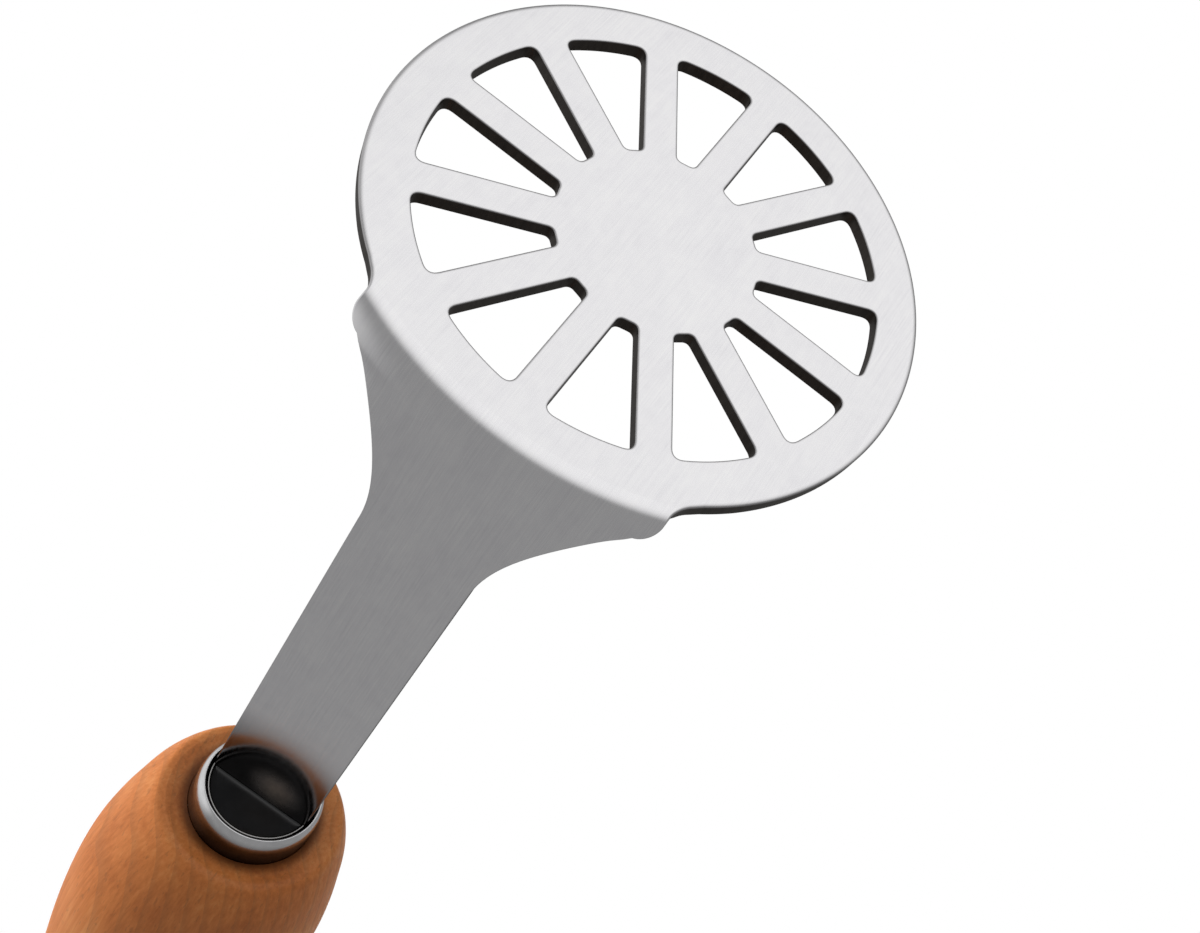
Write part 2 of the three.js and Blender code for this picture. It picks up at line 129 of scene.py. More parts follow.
# ---- finish of the pieces ----
CLOSE_GAP = 0.03  # left between pieces that touch
SLOT_ROLL = (0.5, 0.18)  # width and depth of the rolled-over edge on the working face
RIM_ROLL = (0.9, 0.26)
STEM_ROLL = (0.24, 0.18)
RIM_ROLL_END = -3.0  # between these two places past the bend line, the rim's roll gives way
STEM_ROLL_START = 3.0  # to the stem's
ROLL_STEPS = 8
WALL_TOP = 0.1  # the sheared wall starts this far below the roll
WALL_MIDDLE = 0.6 * SHEET_THICKNESS
EDGE_BREAK = 0.16  # the back's edges are only just broken
BREAK_STEPS = 3
EDGE_FLAT_RING = 0.2  # plain sheet kept behind each rolled edge
SHARPEST_MITRE = 0.72
EASE_LENGTH = 3.2  # the sheet starts to curve this far before the bend
EASE_DEPTH = 0.1
HOLLOW_LEAD = 0.8  # a shallow hollow follows the bend, from this far before its end
HOLLOW_LENGTH = 2.0
HOLLOW_DEPTH = 0.13
SIDE_BOW_START = 28.0  # further across than this, the disc bows away from its working face
SIDE_BOW_DEPTH = 0.28
RIM_STEPS = 420
RIM_LEAD = math.radians(2)  # from the neck's edge to the rim's first point
OUTLINE_SPACING = 0.9
NECK_SPACING = 0.9
STEM_SPACING = 2.2
INNER_MARGIN = RIM_ROLL[0] + EDGE_FLAT_RING + 0.5  # kept free between the edges and the inner points
RESIN_CREEP_REACH = 0.42  # how far from steel and ring the resin's surface has levelled out
RESIN_CREEP_ON_STEM = 0.3
RESIN_CREEP_ON_RING = 0.2
RESIN_CORNER_CREEP = 0.35  # share of the smaller creep that is added where the two meet
HANDLE_TRIM = 0.03  # keeps the smooth handle inside the faceted one

# The handle's outline in front of its widest place: share of the swell, share of its length.
HANDLE_SWELL = [
    (0, 0.004),
    (0.145, 0.014),
    (0.243, 0.038),
    (0.309, 0.067),
    (0.408, 0.117),
    (0.553, 0.212),
    (0.697, 0.359),
    (0.842, 0.525),
    (0.96, 0.734),
    (1, 1),
]
# And behind it: share of the largest radius, share of the length that is left.
HANDLE_TAIL = [
    (0.985, 0.162),
    (0.94, 0.353),
    (0.88, 0.559),
    (0.83, 0.721),
    (0.77, 0.838),
    (0.66, 0.919),
    (0.45, 0.975),
    (0.2, 0.997),
    (0, 1),
]

# The stem's axes, and where its middle passes the crest of the ferrule's mouth.
STEM_DIRECTION = Vector((0, -math.sin(STEM_LEAN), math.cos(STEM_LEAN)))
STEM_FACE_NORMAL = Vector((0, -math.cos(STEM_LEAN), -math.sin(STEM_LEAN)))
ACROSS = Vector((1, 0, 0))
MOUTH_CENTRE = (
    Vector((0, -(BEND_START + BEND_TANGENT), 0))
    + STEM_DIRECTION * (STEM_TO_MOUTH - BEND_LENGTH + BEND_TANGENT)
    - STEM_FACE_NORMAL * (SHEET_THICKNESS / 2)
)


def smoothstep(value):
    value = min(max(value, 0.0), 1.0)
    return value * value * (3 - 2 * value)


def spaced(start, end, steps):
    return [start + (end - start) * step / steps for step in range(steps + 1)]


def make_object(name, mesh, slot, material, *nodes):
    """Adds a finished piece that stands for the named CAD nodes."""
    piece = bpy.data.objects.new(name, mesh)
    bpy.context.scene.collection.objects.link(piece)
    mesh.materials.append(material)
    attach(piece, "root")
    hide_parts(*nodes)


def set_vectors(mesh, name, values):
    attribute = mesh.attributes.new(name, "FLOAT_VECTOR", "POINT")
    attribute.data.foreach_set("vector", [part for value in values for part in value])


def set_floats(mesh, name, values):
    attribute = mesh.attributes.new(name, "FLOAT", "POINT")
    attribute.data.foreach_set("value", list(values))


# ------------------------------------------------------------------ the blade's sheet


def bend_start_at(across):
    return BEND_START - BEND_LINE_RADIUS + math.sqrt(BEND_LINE_RADIUS**2 - across**2)


def half_width_along(along):
    """Half the width of the neck, stem and tang at one distance past the start of the bend."""
    if along < EAR_FILLET_END:
        reach = min(EAR_FILLET_END - along, EAR_FILLET_REACH)
        return EAR_HALF_WIDTH + EAR_FILLET_RADIUS - math.sqrt(EAR_FILLET_RADIUS**2 - reach**2)
    if along < EAR_ROUND_START:
        return EAR_HALF_WIDTH
    if along < FLARE_START:
        share = (along - EAR_ROUND_START) / (FLARE_START - EAR_ROUND_START)
        drop = EAR_HALF_WIDTH - FLARE_START_HALF_WIDTH
        return FLARE_START_HALF_WIDTH + drop * math.sqrt(1 - share**2)
    if along < FLARE_END:
        share = (FLARE_END - along) / (FLARE_END - FLARE_START)
        return STEM_HALF_WIDTH + (FLARE_START_HALF_WIDTH - STEM_HALF_WIDTH) * share**2
    if along <= STEM_END:
        return STEM_HALF_WIDTH
    if along <= TANG_END - TANG_TIP_LENGTH:
        return TANG_HALF_WIDTH
    return TANG_TIP_WIDTH / 2


def base_point(across, along):
    """A point on the outer face of the sheet before its edges, hollow and bow are worked in."""
    bend = min(max(along, 0.0), BEND_LENGTH) / BEND_OUTER_RADIUS
    straight = max(along - BEND_LENGTH, 0.0)
    bow = smoothstep(max(NECK_FLAT_FROM - along, 0.0) / (NECK_FLAT_FROM - BEND_LENGTH))
    outwards = (
        BEND_START
        + bow * (bend_start_at(across) - BEND_START)
        + min(along, 0.0)
        + BEND_OUTER_RADIUS * math.sin(bend)
        + straight * math.sin(STEM_LEAN)
    )
    up = BEND_OUTER_RADIUS * (1 - math.cos(bend)) + straight * math.cos(STEM_LEAN)
    return Vector((across, -outwards, up))


def side_sink(across):
    """How far the disc's sides bow away from the working face."""
    past = max(abs(across) - SIDE_BOW_START, 0) / (DISC_RADIUS - SIDE_BOW_START)
    return SIDE_BOW_DEPTH * past**2


def side_slope(across):
    past = max(abs(across) - SIDE_BOW_START, 0) / (DISC_RADIUS - SIDE_BOW_START)
    return math.copysign(2 * SIDE_BOW_DEPTH * past / (DISC_RADIUS - SIDE_BOW_START), across)


def face_sink(along):
    """How far the pressed sheet sinks below its nominal face: easing into the bend, then a hollow."""
    sink = 0.0
    if -EASE_LENGTH < along <= 0:
        sink += EASE_DEPTH * (1 + along / EASE_LENGTH) ** 2
    elif 0 < along < EASE_LENGTH:
        sink += EASE_DEPTH * (1 + 4 * along / EASE_LENGTH) * (1 - along / EASE_LENGTH) ** 2
    past = (along - BEND_LENGTH + HOLLOW_LEAD) / HOLLOW_LENGTH
    if past > 0:
        sink += HOLLOW_DEPTH * past**2 * math.exp(2 * (1 - past))
    return sink


def sheet_place(across, along):
    """The outer face's point and outward normal."""
    step = 0.01
    here = base_point(across, along)
    if along < -EASE_LENGTH:
        normal = Vector((side_slope(across), 0, -1)).normalized()
        return here + Vector((0, 0, side_sink(across))), normal
    along_way = (base_point(across, along + step) - base_point(across, along - step)) / (2 * step)
    across_way = base_point(across + step, along) - base_point(across - step, along)
    normal = across_way.cross(along_way).normalized()
    slope = (face_sink(along + step) - face_sink(along - step)) / (2 * step)
    return here - normal * face_sink(along), (normal + along_way * slope).normalized()


# ---- the sheet laid flat: x runs across as +X does, y from the hub's centre to the tang ----


def along_of(spot):
    return spot.y - bend_start_at(spot.x)


def spot_at(across, along):
    return Vector((across, along + bend_start_at(across)))


def place_of(spot):
    return sheet_place(spot.x, along_of(spot))


def straight_run(start, end, spacing):
    steps = max(int((end - start).length / spacing), 1)
    return [start.lerp(end, step / steps) for step in range(1, steps)]


def slot_corners():
    """A slot's sharp corners with their rounding radii, and the arc of its outer edge."""
    half_pitch = math.pi / SLOT_COUNT
    side_offset = SPOKE_WIDTH / 2 / math.cos(half_pitch)

    def half_width_at(distance):
        return distance * math.tan(half_pitch) - side_offset

    reach = SLOT_OUTER_RADIUS
    for _ in range(20):
        reach = math.sqrt(SLOT_OUTER_RADIUS**2 - half_width_at(reach) ** 2)
    outer_half = half_width_at(reach)
    inner_half = half_width_at(HUB_RADIUS)
    corners = [
        (Vector((HUB_RADIUS, -inner_half)), SLOT_INNER_CORNER_RADIUS),
        (Vector((reach, -outer_half)), SLOT_OUTER_CORNER_RADIUS),
        (Vector((reach, outer_half)), SLOT_OUTER_CORNER_RADIUS),
        (Vector((HUB_RADIUS, inner_half)), SLOT_INNER_CORNER_RADIUS),
    ]
    half_angle = math.atan2(outer_half, reach) - SLOT_OUTER_CORNER_RADIUS / SLOT_OUTER_RADIUS
    arc = []
    for share in spaced(-1, 1, 22):
        turn = half_angle * share
        arc.append(Vector((SLOT_OUTER_RADIUS * math.cos(turn), SLOT_OUTER_RADIUS * math.sin(turn))))
    return corners, arc


def slot_loop(angle):
    """Outline of one wedge-shaped slot whose middle lies at an angle round the hub."""
    corners, arc = slot_corners()
    points = []
    for index, (corner, radius) in enumerate(corners):
        before = arc[-1] if index == 2 else corners[index - 1][0]
        after = arc[0] if index == 1 else corners[(index + 1) % 4][0]
        back = corner + (before - corner).normalized() * radius
        ahead = corner + (after - corner).normalized() * radius
        if index == 2:
            points.extend(arc[1:-1])
        elif points:
            points.extend(straight_run(points[-1], back, OUTLINE_SPACING))
        for share in spaced(0, 1, 9):
            points.append(back.lerp(corner, share).lerp(corner.lerp(ahead, share), share))
    points.extend(straight_run(points[-1], points[0], OUTLINE_SPACING))
    cosine, sine = math.cos(angle), math.sin(angle)
    return [Vector((p.x * cosine - p.y * sine, p.x * sine + p.y * cosine)) for p in points]


def neck_side():
    """The right-hand edge of the neck, stem and tang, from the disc's rim to the tang's end."""
    alongs = spaced(EAR_FILLET_END - EAR_FILLET_REACH, EAR_FILLET_END, 14)
    alongs += spaced(EAR_FILLET_END, EAR_ROUND_START, 4)[1:]
    alongs += [
        FLARE_START - (FLARE_START - EAR_ROUND_START) * (1 - math.sin(turn * math.pi / 2))
        for turn in spaced(0, 1, 12)[1:]
    ]
    alongs += spaced(FLARE_START, FLARE_END, 36)[1:]
    alongs += spaced(FLARE_END, STEM_END, 60)[1:]
    side = [spot_at(half_width_along(along), along) for along in alongs]
    for along in spaced(STEM_END + TANG_SHOULDER, TANG_END - TANG_TIP_LENGTH, 24):
        side.append(spot_at(TANG_HALF_WIDTH, along))
    side.append(spot_at(TANG_TIP_WIDTH / 2, TANG_END))
    return side


def outline_loop():
    """Outline of the whole stamping: round the disc, then down and back up the neck."""
    side = neck_side()
    start_angle = math.atan2(side[0].x, side[0].y) + RIM_LEAD
    rim = []
    for angle in spaced(start_angle, 2 * math.pi - start_angle, RIM_STEPS):
        rim.append(Vector((DISC_RADIUS * math.sin(angle), DISC_RADIUS * math.cos(angle))))
    mirrored = [Vector((-p.x, p.y)) for p in side]
    return rim + mirrored + list(reversed(side))


def area_of(loop):
    return sum(a.cross(b) for a, b in zip(loop, loop[1:] + loop[:1])) / 2


def outward_mitres(loop, is_hole):
    """For each point of a loop, the direction away from the metal and the mitre's length."""
    sign = 1 if area_of(loop) > 0 else -1
    if is_hole:
        sign = -sign
    mitres = []
    count = len(loop)
    for index in range(count):
        before = (loop[index] - loop[index - 1]).normalized()
        after = (loop[(index + 1) % count] - loop[index]).normalized()
        first = Vector((before.y, -before.x)) * sign
        second = Vector((after.y, -after.x)) * sign
        middle = (first + second).normalized()
        mitres.append((middle, 1 / max(middle.dot(second), SHARPEST_MITRE)))
    return mitres


def edge_rings(roll_width, roll_depth):
    """Across a stamped edge: inset, depth, face share and edge share of the normal, and the cut mask of
    painted shade, near-black on the wall and fading in over the roll.
    """
    rings = []
    for step in range(ROLL_STEPS + 1):
        turn = math.pi / 2 * step / ROLL_STEPS
        inset = roll_width * (1 - math.sin(turn))
        depth = roll_depth * (1 - math.cos(turn))
        face = math.cos(turn) / roll_depth
        edge = math.sin(turn) / roll_width
        size = math.hypot(face, edge)
        # the cut mask paints shade that fades in over the roll towards the wall
        rings.append((inset, depth, face / size, edge / size, 0.9 * (step / ROLL_STEPS) ** 2))
    rings.append((0.0, roll_depth + WALL_TOP, 0.0, 1.0, 1.0))
    rings.append((0.0, WALL_MIDDLE, 0.0, 1.0, 1.0))
    for step in range(BREAK_STEPS + 1):
        turn = math.pi / 2 * (1 - step / BREAK_STEPS)
        inset = EDGE_BREAK * (1 - math.sin(turn))
        depth = SHEET_THICKNESS - EDGE_BREAK * (1 - math.cos(turn))
        rings.append((inset, depth, -math.cos(turn), math.sin(turn), 1.0 - step / BREAK_STEPS))
    return rings


def outline_roll(spot):
    share = (along_of(spot) - RIM_ROLL_END) / (STEM_ROLL_START - RIM_ROLL_END)
    return tuple(Vector(RIM_ROLL).lerp(Vector(STEM_ROLL), smoothstep(share)))


def inner_rows():
    """How far past the bend line the rows of inner points lie: close together round the bend."""
    rows = spaced(-EASE_LENGTH - 0.3, 0, 8)[:-1]
    rows += spaced(0, BEND_LENGTH, 22)
    rows += spaced(BEND_LENGTH, NECK_FLAT_FROM, 26)[1:]
    rows += spaced(NECK_FLAT_FROM, TANG_END - 2, 28)[1:]
    return rows


def inner_spots():
    """Points inside the outline that carry the bend, the neck's bow and the stem."""
    spots = []
    for number, along in enumerate(inner_rows()):
        if STEM_END - INNER_MARGIN < along < STEM_END + TANG_SHOULDER + INNER_MARGIN:
            continue
        half = TANG_HALF_WIDTH if along > STEM_END else half_width_along(along)
        half = min(half, EAR_HALF_WIDTH) - INNER_MARGIN
        spacing = NECK_SPACING if along < NECK_FLAT_FROM else STEM_SPACING
        steps = max(int(2 * half / spacing), 2)
        shift = 0.25 if number % 2 else -0.25
        for step in range(steps + 1):
            across = -half + 2 * half * (step + shift * (0 < step < steps)) / steps
            spots.append(spot_at(across, along))
    return spots


def point_in_loop(spot, loop):
    inside = False
    previous = loop[-1]
    for current in loop:
        if (current.y > spot.y) != (previous.y > spot.y):
            cut = (previous.x - current.x) * (spot.y - current.y) / (previous.y - current.y)
            if spot.x < cut + current.x:
                inside = not inside
        previous = current
    return inside


class SheetBuilder:
    """Collects the blade's points and faces, and carries each flat spot into its place."""

    def __init__(self):
        self.points, self.normals, self.sheet, self.cut, self.faces = [], [], [], [], []
        self.flat_spots, self.flat_edges, self.flat_loops = [], [], []
        self.front_ids, self.back_ids = [], []

    def add(self, spot, depth, face_share, wall_shade_mask, edge_way=Vector((0, 0, 0))):
        place, face_normal = place_of(spot)
        self.points.append((place - face_normal * depth) * MM)
        self.normals.append((face_normal * face_share + edge_way).normalized())
        self.sheet.append((spot.x * MM, spot.y * MM, depth * MM))
        self.cut.append(wall_shade_mask)
        return len(self.points) - 1

    def add_column(self, spot, away, stretch, roll):
        """Points from the working face over one place of an edge to the back."""
        place, face_normal = place_of(spot)
        edge_way = place_of(spot + away * 0.02)[0] - place
        edge_way = (edge_way - face_normal * edge_way.dot(face_normal)).normalized()
        inner_spot = spot - away * (roll[0] + EDGE_FLAT_RING) * stretch
        column = [self.add(inner_spot, 0.0, 1.0, 0.0)]
        for inset, depth, face_share, edge_share, wall_shade_mask in edge_rings(*roll):
            ring_spot = spot - away * inset * stretch
            column.append(self.add(ring_spot, depth, face_share, wall_shade_mask, edge_way * edge_share))
        column.append(self.add(inner_spot, SHEET_THICKNESS, -1.0, 0.0))
        self.front_ids.append(column[0])
        self.back_ids.append(column[-1])
        self.flat_spots.append(inner_spot)
        return column

    def add_edge(self, loop, is_hole):
        """The rolled and sheared edge that follows an outline."""
        first = len(self.flat_spots)
        columns = []
        for spot, (away, stretch) in zip(loop, outward_mitres(loop, is_hole)):
            roll = SLOT_ROLL if is_hole else outline_roll(spot)
            columns.append(self.add_column(spot, away, stretch, roll))
        self.flat_loops.append(self.flat_spots[first:])
        for index, here in enumerate(columns):
            after = (index + 1) % len(columns)
            there = columns[after]
            self.flat_edges.append((first + index, first + after))
            for row in range(len(here) - 1):
                self.faces.append((here[row], here[row + 1], there[row + 1], there[row]))

    def add_inner_spots(self):
        for spot in inner_spots():
            self.flat_spots.append(spot)
            self.front_ids.append(self.add(spot, 0.0, 1.0, 0.0))
            self.back_ids.append(self.add(spot, SHEET_THICKNESS, -1.0, 0.0))

    def is_metal(self, spot):
        outline, *slots = self.flat_loops
        return point_in_loop(spot, outline) and not any(point_in_loop(spot, slot) for slot in slots)

    def fill_faces(self):
        """Joins the flat spots by triangles, on the working face and on the back."""
        result = delaunay_2d_cdt(self.flat_spots, self.flat_edges, [], 1, 1e-6)
        out_spots, out_faces, origins = result[0], result[2], result[3]
        source = [found[0] for found in origins]
        for corners in out_faces:
            middle = sum((out_spots[corner] for corner in corners), Vector((0, 0))) / len(corners)
            if self.is_metal(middle):
                self.faces.append(tuple(self.front_ids[source[corner]] for corner in corners))
                self.faces.append(tuple(self.back_ids[source[corner]] for corner in reversed(corners)))

    def mesh(self):
        mesh = bpy.data.meshes.new("blade_sheet")
        mesh.from_pydata([tuple(p) for p in self.points], [], self.faces)
        work = bmesh.new()
        work.from_mesh(mesh)
        bmesh.ops.recalc_face_normals(work, faces=work.faces)
        work.to_mesh(mesh)
        work.free()
        set_vectors(mesh, "sheet", self.sheet)
        # the cut mask carries the painted shade of the walls and rolled edges
        set_floats(mesh, "cut", self.cut)
        mesh.shade_smooth()
        mesh.normals_split_custom_set_from_vertices([tuple(n) for n in self.normals])
        return mesh


def blade_mesh():
    builder = SheetBuilder()
    builder.add_edge(outline_loop(), False)
    for number in range(SLOT_COUNT):
        builder.add_edge(slot_loop((number + 0.5) * 2 * math.pi / SLOT_COUNT), True)
    builder.add_inner_spots()
    builder.fill_faces()
    return builder.mesh()


# ------------------------------------------------------------------ turned pieces

STEM_FRAME = Matrix.Translation(MOUTH_CENTRE * MM) @ Matrix(
    (
        (ACROSS.x, STEM_DIRECTION.x, ACROSS.cross(STEM_DIRECTION).x, 0),
        (ACROSS.y, STEM_DIRECTION.y, ACROSS.cross(STEM_DIRECTION).y, 0),
        (ACROSS.z, STEM_DIRECTION.z, ACROSS.cross(STEM_DIRECTION).z, 0),
        (0, 0, 0, 1),
    )
)


def local_mesh(name, points, faces, sharp_angle):
    """A closed mesh from points in the stem's frame, which it keeps as an attribute."""
    mesh = bpy.data.meshes.new(name)
    mesh.from_pydata([tuple(p) for p in points], [], faces)
    work = bmesh.new()
    work.from_mesh(mesh)
    bmesh.ops.remove_doubles(work, verts=work.verts, dist=1e-7)
    bmesh.ops.recalc_face_normals(work, faces=work.faces)
    work.to_mesh(mesh)
    work.free()
    set_vectors(mesh, "turned", [tuple(vertex.co) for vertex in mesh.vertices])
    mesh.transform(STEM_FRAME)
    mesh.shade_smooth()
    mesh.set_sharp_from_angle(angle=math.radians(sharp_angle))
    return mesh


def lathe(name, profile, segments, sharp_angle=38):
    """Turns a closed profile of (radius, distance from the mouth) about the stem's axis."""
    points, faces = [], []
    count = len(profile)
    for segment in range(segments):
        turn = 2 * math.pi * segment / segments
        for radius, distance in profile:
            points.append(Vector((radius * math.cos(turn), distance, radius * math.sin(turn))) * MM)
    for segment in range(segments):
        after = (segment + 1) % segments
        for row in range(count):
            below = (row + 1) % count
            if profile[row][0] == 0 and profile[below][0] == 0:
                continue
            here, there = segment * count, after * count
            faces.append((here + row, here + below, there + below, there + row))
    return local_mesh(name, points, faces, sharp_angle)


def arc_points(centre, radius, start, end, steps):
    """Profile points on a circle; the angle, in degrees, turns from outwards towards the handle."""
    points = []
    for angle in spaced(math.radians(start), math.radians(end), steps):
        points.append((centre[0] + radius * math.cos(angle), centre[1] + radius * math.sin(angle)))
    return points


def ferrule_mesh():
    """The tube, drawn in at its mouth on an elliptical curve."""
    crest = MOUTH_RADIUS + FERRULE_EDGE_RADIUS
    profile = [
        (FERRULE_INNER_RADIUS, FERRULE_LENGTH),
        (FERRULE_INNER_RADIUS, FERRULE_DRAW_LENGTH),
        (MOUTH_RADIUS, FERRULE_DRAW_LENGTH / 2),
    ]
    profile += arc_points((crest, FERRULE_EDGE_RADIUS), FERRULE_EDGE_RADIUS, 180, 270, 10)
    for turn in spaced(0, math.pi / 2, 40)[1:]:
        radius = crest + (FERRULE_OUTER_RADIUS - crest) * math.sin(turn)
        profile.append((radius, FERRULE_DRAW_LENGTH * (1 - math.cos(turn))))
    profile += [(FERRULE_OUTER_RADIUS, distance) for distance in spaced(4, FERRULE_LENGTH, 12)]
    return lathe("ferrule_tube", profile, 160)


def ring_mesh():
    """Two arcs of the collar, one each side of the stem's edges."""
    edge = MOUTH_RING_WALL / 2
    middle = MOUTH_RING_OUTER_RADIUS - edge
    profile = [(MOUTH_RING_INNER_RADIUS, MOUTH_RING_END)]
    profile += arc_points((middle, MOUTH_RING_SETBACK + edge), edge, 180, 360, 14)
    profile += [(MOUTH_RING_OUTER_RADIUS, MOUTH_RING_END)]
    count = len(profile)
    clear = math.asin((SHEET_THICKNESS / 2 + CLOSE_GAP) / MOUTH_RING_INNER_RADIUS)
    points, faces = [], []
    for start in (0, math.pi):
        base = len(points)
        segments = 72
        for turn in spaced(start + clear, start + math.pi - clear, segments):
            for radius, distance in profile:
                points.append(Vector((radius * math.cos(turn), distance, radius * math.sin(turn))) * MM)
        for segment in range(segments):
            here = base + segment * count
            for row in range(count):
                below = (row + 1) % count
                faces.append((here + row, here + below, here + count + below, here + count + row))
        faces.append(tuple(base + row for row in range(count)))
        faces.append(tuple(base + segments * count + row for row in reversed(range(count))))
    return local_mesh("mouth_collar", points, faces, 38)


RESIN_CHORD = SHEET_THICKNESS / 2 + CLOSE_GAP
RESIN_FACE_RADIUS = MOUTH_RING_INNER_RADIUS - CLOSE_GAP
RESIN_TURNS = 64
RESIN_SHARES = 26


def resin_spot(radius, turn_share, share):
    """A place in one half-round section: along its arc, and from the sheet's face to that arc."""
    low = math.asin(RESIN_CHORD / radius)
    turn = low + (math.pi - 2 * low) * turn_share
    on_arc = Vector((radius * math.cos(turn), radius * math.sin(turn)))
    on_chord = Vector((on_arc.x, RESIN_CHORD))
    return on_chord.lerp(on_arc, share)


def resin_surface(spot):
    """Distance of the resin's surface behind the mouth's crest: it creeps up on stem and ring."""
    from_stem = RESIN_CREEP_ON_STEM * math.exp(-(spot.y - RESIN_CHORD) / RESIN_CREEP_REACH)
    from_ring = RESIN_CREEP_ON_RING * math.exp(-(RESIN_FACE_RADIUS - spot.length) / RESIN_CREEP_REACH)
    rise = max(from_stem, from_ring) + RESIN_CORNER_CREEP * min(from_stem, from_ring)
    return RESIN_SETBACK - min(rise, RESIN_CREEP_ON_STEM)


def resin_mesh():
    """Two half-round fills, one each side of the sheet, with a meniscus on steel and ring."""
    shelves = [
        (RESIN_FACE_RADIUS, RESIN_STEP),
        (RESIN_BODY_RADIUS, RESIN_STEP + 0.01),
        (RESIN_BODY_RADIUS, FERRULE_LENGTH),
        (RESIN_SHAFT_RADIUS, FERRULE_LENGTH + 0.01),
        (RESIN_SHAFT_RADIUS, RESIN_END),
    ]
    row = RESIN_SHARES + 1
    shape = [(turn / RESIN_TURNS, 1) for turn in range(RESIN_TURNS + 1)]
    shape += [(turn / RESIN_TURNS, 0) for turn in range(RESIN_TURNS - 1, 0, -1)]
    points, faces = [], []
    for side in (1, -1):
        base = len(points)
        for turn in range(RESIN_TURNS + 1):
            for step in range(row):
                share = smoothstep(step / RESIN_SHARES)
                spot = resin_spot(RESIN_FACE_RADIUS, turn / RESIN_TURNS, share)
                points.append(Vector((spot.x, resin_surface(spot), side * spot.y)) * MM)
        for turn in range(RESIN_TURNS):
            for here in range(base + turn * row, base + turn * row + RESIN_SHARES):
                faces.append((here, here + 1, here + row + 1, here + row))
        rim = [base + turn * row + RESIN_SHARES for turn in range(RESIN_TURNS + 1)]
        rim += [base + turn * row for turn in range(RESIN_TURNS - 1, 0, -1)]
        for radius, distance in shelves:
            fresh = []
            for turn_share, share in shape:
                spot = resin_spot(radius, turn_share, share)
                points.append(Vector((spot.x, distance, side * spot.y)) * MM)
                fresh.append(len(points) - 1)
            for index in range(len(rim)):
                after = (index + 1) % len(rim)
                faces.append((rim[index], rim[after], fresh[after], fresh[index]))
            rim = fresh
        faces.append(tuple(rim))
    return local_mesh("resin_fill", points, faces, 50)


def spline_point(before, start, end, after, share):
    """A place between start and end on a smooth curve that passes through all four."""
    return 0.5 * (
        2 * start
        + (end - before) * share
        + (2 * before - 5 * start + 4 * end - after) * share**2
        + (3 * start - before - 3 * end + after) * share**3
    )


def handle_curve():
    """The turned outside of the handle, from its front edge to its tip."""
    rise = HANDLE_RADIUS - HANDLE_FRONT_RADIUS
    widest = HANDLE_SETBACK + HANDLE_SWELL_DISTANCE
    fall = HANDLE_LENGTH - HANDLE_SWELL_DISTANCE
    stations = [
        Vector((HANDLE_FRONT_RADIUS + rise * share, HANDLE_SETBACK + part * HANDLE_SWELL_DISTANCE))
        for share, part in HANDLE_SWELL
    ]
    stations += [Vector((share * HANDLE_RADIUS, widest + part * fall)) for share, part in HANDLE_TAIL]
    curve = []
    last = len(stations) - 1
    for index in range(last):
        before, start = stations[max(index - 1, 0)], stations[index]
        end, after = stations[index + 1], stations[min(index + 2, last)]
        curve += [spline_point(before, start, end, after, share) for share in spaced(0, 1, 8)[:-1]]
    outside = [(max(point.x - HANDLE_TRIM, 0.0), min(point.y, HANDLE_END)) for point in curve]
    return outside + [(0.0, HANDLE_END)]


def handle_mesh():
    seat = FERRULE_OUTER_RADIUS + CLOSE_GAP
    cove = (FERRULE_OUTER_RADIUS + FIT_GAP + HANDLE_FRONT_RADIUS) / 2
    cove_floor = HANDLE_SETBACK + HANDLE_COVE_DEPTH
    profile = [
        (0.0, HANDLE_BORE_END),
        (HANDLE_BORE_RADIUS, HANDLE_BORE_END),
        (HANDLE_BORE_RADIUS, HANDLE_SEAT_END),
        (seat, HANDLE_SEAT_END),
        (seat, cove_floor + 0.1),
        (seat + 0.1, cove_floor),
        (cove, cove_floor),
    ]
    front = handle_curve()
    for share in spaced(0, 1, 8)[1:-1]:
        radius = cove + (front[0][0] - cove) * share
        distance = cove_floor + (front[0][1] - cove_floor) * smoothstep(share)
        profile.append((radius, distance))
    return lathe("turned_handle", profile + front, 192, 50)


# ------------------------------------------------------------------ materials


